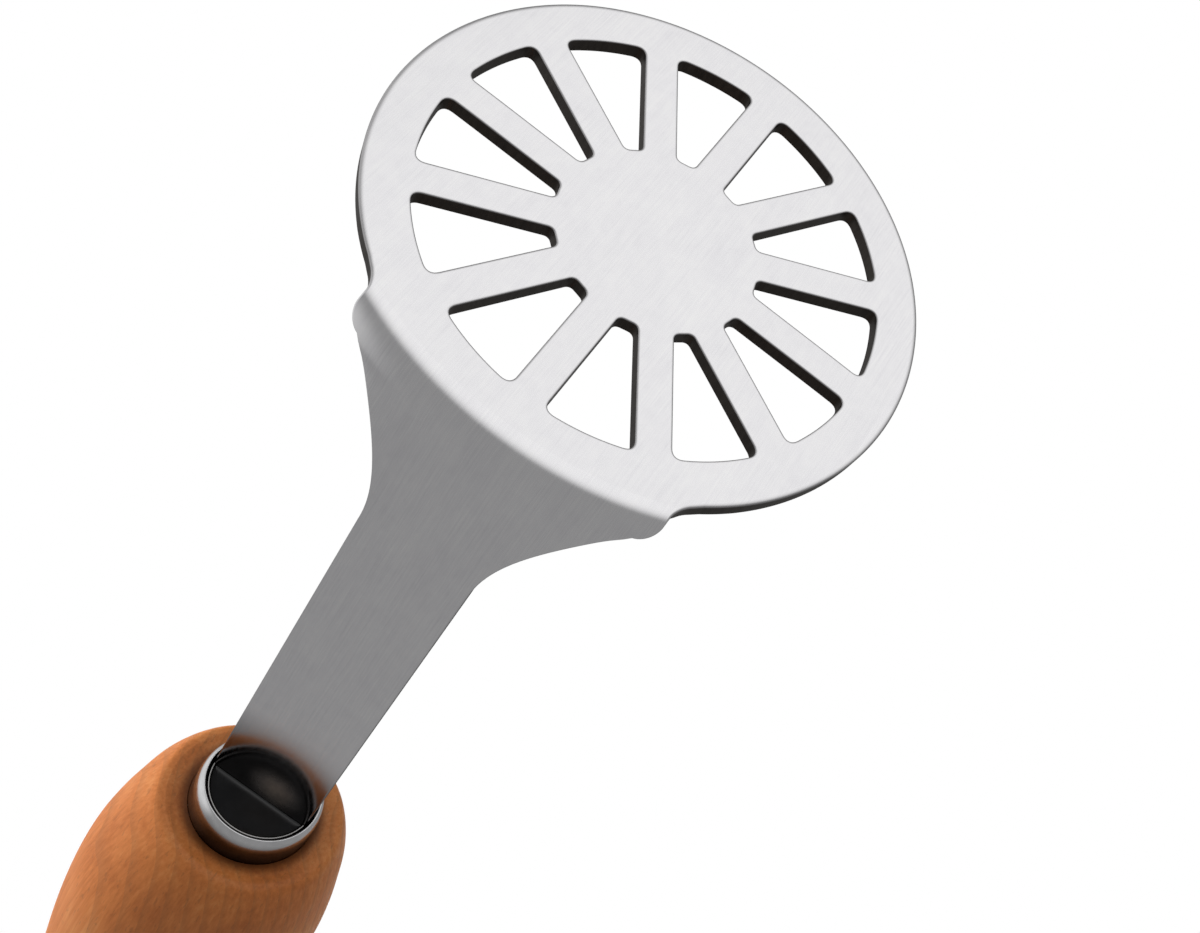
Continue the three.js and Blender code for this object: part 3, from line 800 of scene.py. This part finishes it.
class Nodes:
    """A node tree, built by short calls; each returns an output unless it says otherwise."""

    def __init__(self, tree):
        self.tree = tree

    def node(self, kind, inputs=None, **settings):
        """Adds a node and returns the node itself."""
        made = self.tree.nodes.new(kind)
        for key, value in settings.items():
            setattr(made, key, value)
        for key, value in (inputs or {}).items():
            self.feed(made, key, value)
        return made

    def feed(self, node, key, value):
        """Links an output to an input, or sets the input's own value."""
        if isinstance(value, bpy.types.NodeSocket):
            self.tree.links.new(value, node.inputs[key])
        else:
            node.inputs[key].default_value = value

    def vector_math(self, operation, first, second=(0, 0, 0)):
        return self.node("ShaderNodeVectorMath", {0: first, 1: second}, operation=operation).outputs[0]

    def length(self, vector):
        return self.node("ShaderNodeVectorMath", {0: vector}, operation="LENGTH").outputs["Value"]

    def parts(self, vector):
        return self.node("ShaderNodeSeparateXYZ", {0: vector}).outputs

    def from_axis(self, spot):
        """How far a place in the stem's frame is from the stem's axis."""
        return self.length(self.vector_math("MULTIPLY", spot, (1, 0, 1)))

    def noise(self, vector, scale, detail, roughness, distortion=0.0):
        """Noise whose grains are finer along an axis the larger that axis's scale is."""
        inputs = {
            "Vector": self.vector_math("MULTIPLY", vector, scale),
            "Scale": 1.0,
            "Detail": detail,
            "Roughness": roughness,
            "Distortion": distortion,
        }
        return self.node("ShaderNodeTexNoise", inputs).outputs["Fac"]

    def math(self, operation, first, second=0.0):
        return self.node("ShaderNodeMath", {0: first, 1: second}, operation=operation).outputs[0]

    def times(self, first, second):
        return self.math("MULTIPLY", first, second)

    def weighted(self, *pairs):
        """The sum of values, each times its weight."""
        total, *others = [self.times(value, weight) for value, weight in pairs]
        for other in others:
            total = self.math("ADD", total, other)
        return total

    def remap(self, value, low, high, to_low=0.0, to_high=1.0, smooth=False):
        inputs = {"Value": value, "From Min": low, "From Max": high, "To Min": to_low, "To Max": to_high}
        kind = "SMOOTHSTEP" if smooth else "LINEAR"
        return self.node("ShaderNodeMapRange", inputs, interpolation_type=kind).outputs["Result"]

    def fade(self, value, start, end):
        """Rises smoothly from 0 at the start to 1 at the end."""
        return self.remap(value, start, end, smooth=True)

    def mix(self, factor, first, second):
        inputs = {0: factor, 6: first, 7: second}
        return self.node("ShaderNodeMix", inputs, data_type="RGBA").outputs[2]

    def ramp(self, value, stops):
        made = self.node("ShaderNodeValToRGB", {0: value})
        elements = made.color_ramp.elements
        while len(elements) < len(stops):
            elements.new(0.5)
        for element, (position, colour) in zip(elements, stops):
            element.position = position
            element.color = (*colour, 1)
        return made.outputs["Color"]

    def bump(self, height, strength, distance, normal=None):
        inputs = {"Height": height, "Strength": strength, "Distance": distance}
        if normal is not None:
            inputs["Normal"] = normal
        return self.node("ShaderNodeBump", inputs).outputs["Normal"]


class Surface(Nodes):
    """A material's node tree."""

    def __init__(self, name):
        self.material = bpy.data.materials.new(name)
        self.material.use_nodes = True
        super().__init__(self.material.node_tree)
        self.shader = self.tree.nodes["Principled BSDF"]

    def attribute(self, name, output):
        return self.node("ShaderNodeAttribute", attribute_name=name).outputs[output]

    def finish(self, **values):
        """Feeds the shader and returns the material."""
        for key, value in values.items():
            self.feed(self.shader, key.replace("_", " "), value)
        return self.material


STEEL_TONES = [(0.0, (0.73, 0.722, 0.745)), (0.5, (0.825, 0.817, 0.832)), (1.0, (0.91, 0.905, 0.90))]
STEM_SHADE_START = BEND_START + STEM_TO_MOUTH - 20  # painted shade: the stem is darkened where it enters the resin, standing for the dark reflection there
STEM_SHADE_END = BEND_START + STEM_TO_MOUTH - 7
STEM_HIGHLIGHT_PLACE = Vector((-1.8, BEND_START + STEM_TO_MOUTH - 3.0, 0))  # a painted highlight, a pale brown patch just above it
STEM_HIGHLIGHT_SHAPE = (150, 165, 0)  # one over its half length and half height, in metres


def painted_stem_shade(n, spot, clouds):
    """Where the stem carries painted shade towards the mouth, as a share."""
    stem_shade = n.fade(n.parts(spot)[1], STEM_SHADE_START * MM, STEM_SHADE_END * MM)
    return n.times(stem_shade, n.remap(clouds, 0.3, 0.7, 0.85, 1.0))


def painted_stem_highlight(n, spot, blotches):
    """Where the painted highlight lies, as a share."""
    from_stem_highlight = n.vector_math("SUBTRACT", spot, STEM_HIGHLIGHT_PLACE * MM)
    from_stem_highlight = n.length(n.vector_math("MULTIPLY", from_stem_highlight, STEM_HIGHLIGHT_SHAPE))
    smudge = n.remap(from_stem_highlight, 0.0, 1.0, 1.0, 0.0, smooth=True)
    return n.times(smudge, n.remap(blotches, 0.3, 0.7, 0.75, 1.0))


def blade_steel():
    """Satin stainless sheet, brushed along its length, with rougher sheared edges painted near-black as
    shade, painted shade on the stem by the mouth and a painted highlight just above it.
    """
    n = Surface("blade_steel")
    spot = n.attribute("sheet", "Vector")
    # cut: where the walls and rolled edges get painted shade
    cut = n.attribute("cut", "Fac")
    streaks = n.noise(spot, (3200, 75, 900), 4.0, 0.62)
    hairlines = n.noise(spot, (9000, 160, 2000), 2.0, 0.5)
    clouds = n.noise(spot, (170, 120, 170), 3.0, 0.6, 0.6)
    blotches = n.noise(spot, (620, 480, 620), 3.0, 0.6)
    shear = n.noise(spot, (1500, 1500, 350), 3.0, 0.6)
    grain = n.weighted((streaks, 0.62), (hairlines, 0.38))
    tone = n.weighted((grain, 0.6), (clouds, 0.25), (blotches, 0.15))
    stem_shade = painted_stem_shade(n, spot, clouds)
    smudge = painted_stem_highlight(n, spot, blotches)
    face = n.ramp(n.remap(tone, 0.3, 0.7), STEEL_TONES)
    # painted shade: the stem darkens towards the mouth
    face = n.mix(stem_shade, face, n.mix(0.86, face, (0.06, 0.05, 0.047, 1)))
    # painted highlight: a pale brown patch on the stem just above the mouth
    face = n.mix(smudge, face, (0.30, 0.24, 0.20, 1))
    # painted shade: near-black colour for the sheared walls, laid on by the cut mask; the walls' extra
    # roughness is real
    wall_shade_colour = n.mix(shear, (0.020, 0.015, 0.013, 1), (0.075, 0.065, 0.056, 1))
    rough = n.remap(n.weighted((grain, 0.7), (clouds, 0.3)), 0.3, 0.7, 0.13, 0.22)
    rough = n.math("SUBTRACT", rough, n.times(stem_shade, 0.06))
    return n.finish(
        Base_Color=n.mix(cut, face, wall_shade_colour),
        # the painted highlight is also made less metallic
        Metallic=n.math("SUBTRACT", 1.0, n.times(smudge, 0.7)),
        Roughness=n.math("ADD", rough, n.times(cut, 0.3)),
        Normal=n.bump(clouds, 0.06, 0.00012, n.bump(grain, 0.12, 0.00003)),
    )


# width over which the painted shade inside the mouth fades out
INNER_SHADE_FADE = 0.05
FLANK_SHADE_START = 0.5  # painted shade: the tube darkens from its mouth towards the wood
FLANK_SHADE_END = 3.3
LIT_SIDE_START = 2.0  # less so towards +X, the lit side
LIT_SIDE_END = 9.0


def painted_flank_shade(n, spot, smudge):
    # Painted shade on the tube behind the mouth, lighter towards +X.
    side, behind_mouth, _ = n.parts(spot)
    flank_shade = n.fade(behind_mouth, FLANK_SHADE_START * MM, FLANK_SHADE_END * MM)
    flank_shade = n.times(flank_shade, n.remap(smudge, 0.3, 0.7, 0.9, 0.98))
    shade_by_side = n.remap(side, LIT_SIDE_START * MM, LIT_SIDE_END * MM, 1.0, 0.2, smooth=True)
    return n.times(flank_shade, shade_by_side)


def polished_steel(name, rough_low, rough_high, tint, inner_shade_radius):
    """Bright steel with faint polishing rings and smudges, with painted shade inside a radius and on the
    tube behind the mouth.
    """
    n = Surface(name)
    spot = n.attribute("turned", "Vector")
    rings = n.noise(spot, (60, 6500, 60), 3.0, 0.55)
    smudge = n.noise(spot, (260, 340, 260), 4.0, 0.62, 0.8)
    nicks = n.noise(spot, (2100, 1300, 2100), 2.0, 0.5)
    dull = tuple(part * 0.82 for part in tint)
    colour = n.ramp(n.remap(smudge, 0.3, 0.7), [(0.0, dull), (1.0, tint)])
    # painted shade: near-black inside the given radius
    inside, outside = (inner_shade_radius - INNER_SHADE_FADE) * MM, (inner_shade_radius + INNER_SHADE_FADE) * MM
    inner_shade = n.remap(n.from_axis(spot), inside, outside, 1.0, 0.0, smooth=True)
    colour = n.mix(inner_shade, colour, (0.012, 0.012, 0.013, 1))
    # painted shade on the tube behind the mouth
    colour = n.mix(painted_flank_shade(n, spot, smudge), colour, (0.05, 0.037, 0.031, 1))
    rough = n.remap(n.weighted((rings, 0.4), (smudge, 0.6)), 0.3, 0.7, rough_low, rough_high)
    rough = n.math("ADD", rough, n.times(n.fade(nicks, 0.62, 0.74), 0.1))
    normal = n.bump(rings, 0.1, 0.00002, n.bump(smudge, 0.08, 0.0001))
    return n.finish(Base_Color=colour, Metallic=1.0, Roughness=rough, Normal=normal)


def black_resin():
    """Glossy black casting resin with a little dust and slow unevenness."""
    n = Surface("black_resin")
    spot = n.attribute("turned", "Vector")
    slow = n.noise(spot, (330, 330, 330), 2.0, 0.5)
    dust = n.noise(spot, (5200, 5200, 5200), 2.0, 0.5)
    body = n.mix(slow, (0.016, 0.0165, 0.0175, 1), (0.028, 0.0285, 0.03, 1))
    return n.finish(
        Base_Color=n.mix(n.times(n.fade(dust, 0.7, 0.78), 0.5), body, (0.06, 0.06, 0.06, 1)),
        Roughness=n.remap(slow, 0.3, 0.7, 0.13, 0.24),
        Normal=n.bump(slow, 0.25, 0.0002),
        IOR=1.5,
    )


WOOD_TONES = [(0.0, (0.50, 0.142, 0.030)), (0.5, (0.67, 0.215, 0.051)), (1.0, (0.78, 0.312, 0.092))]
PITH = (0.031, 0.017)  # how far the tree's middle lies beside the handle's axis, in metres
GROWTH_RINGS = 430  # in a metre
FERRULE_SHADE_START = FERRULE_OUTER_RADIUS + 0.2  # painted shade: the wood is darkened round the ferrule
FERRULE_SHADE_END = FERRULE_OUTER_RADIUS + 2.6


def late_wood(n, spot):
    """The darker part of each growth ring, as a share."""
    wander = n.noise(spot, (38, 9, 38), 2.0, 0.5)
    parts = n.parts(spot)
    sides = [n.math("ADD", parts[axis], shift) for axis, shift in zip((0, 2), PITH)]
    squares = [n.times(side, side) for side in sides]
    radius = n.math("SQRT", n.math("ADD", *squares))
    radius = n.math("ADD", radius, n.times(wander, 0.006))
    return n.fade(n.math("FRACT", n.times(radius, GROWTH_RINGS)), 0.55, 1.0)


def varnished_wood():
    """Close-grained beech turned along the grain, under a thin orange varnish."""
    n = Surface("varnished_wood")
    spot = n.attribute("turned", "Vector")
    fibres = n.noise(spot, (1500, 34, 1500), 4.0, 0.62)
    pores = n.noise(spot, (4200, 210, 4200), 2.0, 0.5)
    flecks = n.noise(spot, (1900, 420, 700), 2.0, 0.45)
    patches = n.noise(spot, (70, 28, 70), 3.0, 0.55)
    lathe_marks = n.noise(spot, (40, 2600, 40), 2.0, 0.5)
    tone = n.weighted((fibres, 0.45), (patches, 0.55))
    body = n.ramp(n.remap(tone, 0.32, 0.68), WOOD_TONES)
    body = n.mix(n.times(late_wood(n, spot), 0.30), body, (0.36, 0.135, 0.04, 1))
    body = n.mix(n.times(n.fade(flecks, 0.62, 0.72), 0.35), body, (0.30, 0.11, 0.035, 1))
    body = n.mix(n.times(n.fade(pores, 0.62, 0.78), 0.35), body, (0.22, 0.075, 0.022, 1))
    # painted shade: a dark band on the wood round the ferrule
    ferrule_shade = n.remap(n.from_axis(spot), FERRULE_SHADE_START * MM, FERRULE_SHADE_END * MM, 1.0, 0.0, smooth=True)
    ferrule_shade = n.times(ferrule_shade, n.remap(patches, 0.3, 0.7, 0.6, 0.85))
    relief = n.weighted((fibres, 0.7), (lathe_marks, 0.3))
    return n.finish(
        Base_Color=n.mix(ferrule_shade, body, (0.05, 0.014, 0.005, 1)),
        Roughness=n.remap(tone, 0.3, 0.7, 0.60, 0.46),
        Normal=n.bump(relief, 0.16, 0.00012),
        Specular_IOR_Level=0.3,
        Coat_Weight=0.1,
        Coat_Roughness=0.22,
    )


# ------------------------------------------------------------------ the pieces

make_object("blade_sheet", blade_mesh(), "brushed_blade_steel", blade_steel(), "masher_blade")
make_object(
    "ferrule_tube",
    ferrule_mesh(),
    "polished_ferrule_steel",
    polished_steel("ferrule_steel", 0.13, 0.22, (0.84, 0.84, 0.85), MOUTH_RADIUS + 0.12),
    "ferrule",
)
make_object(
    "mouth_collar",
    ring_mesh(),
    "ring_steel",
    polished_steel("collar_steel", 0.2, 0.3, (0.5, 0.49, 0.48), MOUTH_RING_OUTER_RADIUS - 0.34),
    "mouth_ring",
)
make_object("resin_fill", resin_mesh(), "black_resin", black_resin(), "potting_resin")
make_object("turned_handle", handle_mesh(), "varnished_hardwood", varnished_wood(), "handle")

# ------------------------------------------------------------------ floor, light and camera

# Metres from here on.
FLOOR_HEIGHT = -0.8
FLOOR_SIZE = 30.0


def add_floor():
    mesh = bpy.data.meshes.new("floor")
    half = FLOOR_SIZE / 2
    corners = [(-half, -half), (half, -half), (half, half), (-half, half)]
    mesh.from_pydata([(x, y, FLOOR_HEIGHT) for x, y in corners], [], [(0, 1, 2, 3)])
    floor = bpy.data.objects.new("floor", mesh)
    bpy.context.scene.collection.objects.link(floor)
    n = Surface("pale_floor")
    spot = n.node("ShaderNodeTexCoord").outputs["Object"]
    mottle = n.noise(spot, (7, 7, 7), 4.0, 0.55)
    colour = n.mix(mottle, (0.80, 0.80, 0.80, 1), (0.86, 0.86, 0.855, 1))
    mesh.materials.append(n.finish(Base_Color=colour, Roughness=0.75))
    floor.visible_glossy = False
    floor.visible_diffuse = False


# Even soft grey all round and two large soft lights: the way to each, its colour, and the cosines from its
# middle between which it fades in.
ROOM = (0.3, 0.3, 0.3)
KEY_LIGHT = ((0.0, 0.55, -0.835), (1.0, 1.0, 1.0), (0.7, 0.98))  # behind the disc and below it
SIDE_LIGHT = ((1.0, 0.0, 0.0), (0.8, 0.8, 0.8), (0.5, 0.9))


def surrounding_light(n):
    """The surroundings' colour in each direction."""
    way = n.node("ShaderNodeTexCoord").outputs["Generated"]
    light = (*ROOM, 1)
    for middle, colour, edges in (SIDE_LIGHT, KEY_LIGHT):
        cosine = n.node("ShaderNodeVectorMath", {0: way, 1: middle}, operation="DOT_PRODUCT")
        light = n.mix(n.fade(cosine.outputs["Value"], *edges), light, (*colour, 1))
    return light


def add_surroundings():
    """Plain white to the camera, and the soft lights to everything that they light."""
    world = bpy.data.worlds.new("studio")
    bpy.context.scene.world = world
    world.use_nodes = True
    world.node_tree.nodes.clear()
    n = Nodes(world.node_tree)
    lit = n.node("ShaderNodeBackground", {"Color": surrounding_light(n)}).outputs[0]
    seen = n.node("ShaderNodeBackground", {"Color": (1, 1, 1, 1)}).outputs[0]
    by_camera = n.node("ShaderNodeLightPath").outputs["Is Camera Ray"]
    choice = n.node("ShaderNodeMixShader", {0: by_camera, 1: lit, 2: seen}).outputs[0]
    n.node("ShaderNodeOutputWorld", {0: choice})


def add_area_light(name, place, target, size, power):
    data = bpy.data.lights.new(name, "AREA")
    data.shape = "SQUARE"
    data.size = size
    data.energy = power
    lamp = bpy.data.objects.new(name, data)
    lamp.location = place
    lamp.rotation_mode = "QUATERNION"
    lamp.rotation_quaternion = (Vector(target) - Vector(place)).to_track_quat("-Z", "Y")
    lamp.visible_camera = False
    lamp.visible_glossy = False
    bpy.context.scene.collection.objects.link(lamp)


# The photograph's viewing angle: the camera looks up from below, a little to one side.
CAMERA_PLACE = (-0.015142, -0.145999, -0.162568)
CAMERA_RIGHT = (-0.795806, 0.452196, -0.402754)
CAMERA_UP = (0.598307, 0.689732, -0.407798)
CAMERA_BACK = (0.093388, -0.565498, -0.819445)
CAMERA_LENS = 44.828
CAMERA_SENSOR = 36.0
CAMERA_SHIFT = (-0.11568, 0.06319)


def add_camera():
    data = bpy.data.cameras.new("camera")
    data.sensor_width = CAMERA_SENSOR
    data.lens = CAMERA_LENS
    data.shift_x, data.shift_y = CAMERA_SHIFT
    data.clip_start = 0.005
    data.clip_end = 50
    camera = bpy.data.objects.new("camera", data)
    axes = Matrix((CAMERA_RIGHT, CAMERA_UP, CAMERA_BACK)).transposed()
    camera.matrix_world = Matrix.Translation(CAMERA_PLACE) @ axes.to_4x4()
    bpy.context.scene.collection.objects.link(camera)
    bpy.context.scene.camera = camera


add_floor()
add_surroundings()
add_area_light("top_light", (0.1, 0.5, 1.6), (0, 0, FLOOR_HEIGHT), 2.0, 60.0)
add_area_light("wood_light", (0.45, -0.05, 0.16), (0, -0.1, 0.13), 0.25, 1.5)
add_camera()
bpy.context.scene.view_settings.view_transform = "Standard"
